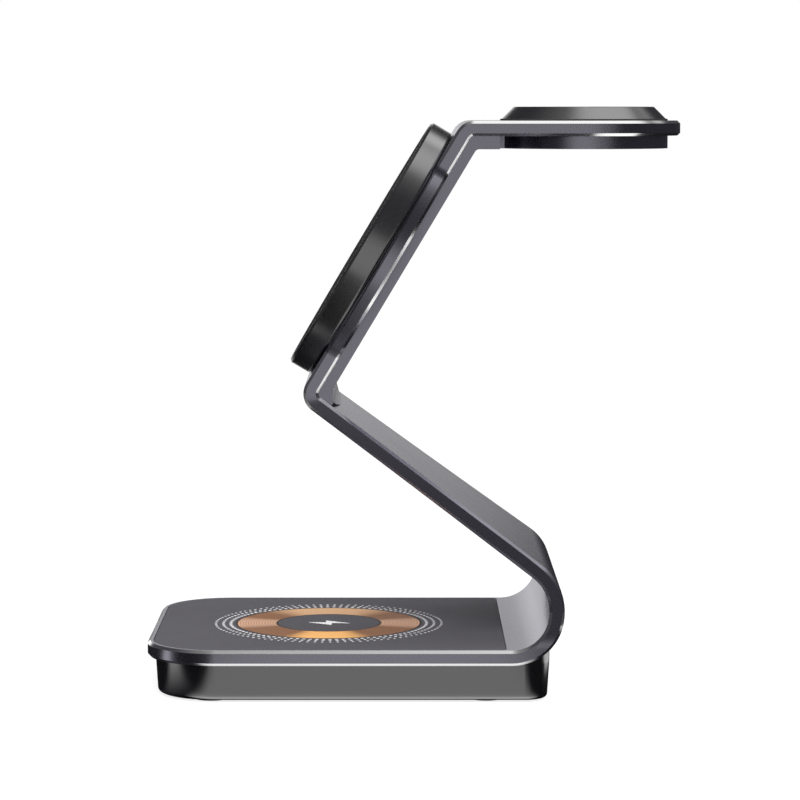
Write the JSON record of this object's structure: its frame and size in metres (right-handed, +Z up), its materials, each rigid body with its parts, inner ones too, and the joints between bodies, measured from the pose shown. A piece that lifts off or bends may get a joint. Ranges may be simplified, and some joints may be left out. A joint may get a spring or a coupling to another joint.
{
  "type": "wireless charging stand",
  "caption": "Desk stand bent from one grey metal plate, with a dark charging panel on the base, a round magnetic phone pad on its arm and a watch puck on top.",
  "frame": {"origin": "on the table under the middle of the stand's box", "axes": "+Z up from the table, +X from the front of the base to the back, +Y across the stand"},
  "size_m": [0.1062, 0.0666, 0.1154],
  "materials": {
    "anodised_aluminium": "space grey anodised plate, fine blasted grain, bright cut chamfers",
    "cover_aluminium": "space grey anodised cover",
    "panel_coating": "dark soft coated panel with a dotted print",
    "copper_print": "copper foil with fine turned lines",
    "casing_plastic": "dark grey satin casing",
    "pad_plastic": "black satin moulding",
    "pad_face_coating": "black soft coated face",
    "watch_face_coating": "dark dished face",
    "foot_rubber": "black rubber",
    "screw_steel": "plated steel",
    "socket_steel": "drawn steel shell",
    "board_laminate": "green board",
    "component_black": "black moulded parts",
    "inner_plastic": "grey inner moulding",
    "ferrite": "sintered ferrite",
    "copper_wire": "wound copper wire",
    "cable_film": "amber film",
    "magnet_nickel": "nickel plated magnets"
  },
  "bodies": {
    "root": {"z_frame": "anodised_aluminium", "base_pad": "panel_coating", "copper_ring": "copper_print", "base_housing": "casing_plastic", "rubber_feet": "foot_rubber", "housing_screws": "screw_steel", "main_board": "board_laminate", "board_screws": "screw_steel", "board_components": "component_black", "power_socket": "socket_steel", "socket_tongue": "component_black", "coil_carrier": "inner_plastic", "earbud_ferrite": "ferrite", "earbud_coil": "copper_wire", "ribbon_cable": "cable_film", "phone_pad_housing": "pad_plastic", "phone_pad_face": "pad_face_coating", "phone_ferrite": "ferrite", "phone_coil": "copper_wire", "phone_magnets": "magnet_nickel", "phone_pad_screws": "screw_steel", "back_cover": "cover_aluminium", "watch_lead": "cable_film", "watch_puck": "pad_plastic", "watch_face": "watch_face_coating", "watch_ferrite": "ferrite", "watch_coil": "copper_wire", "watch_magnet": "magnet_nickel", "watch_screws": "screw_steel"}
  },
  "joints": []
}
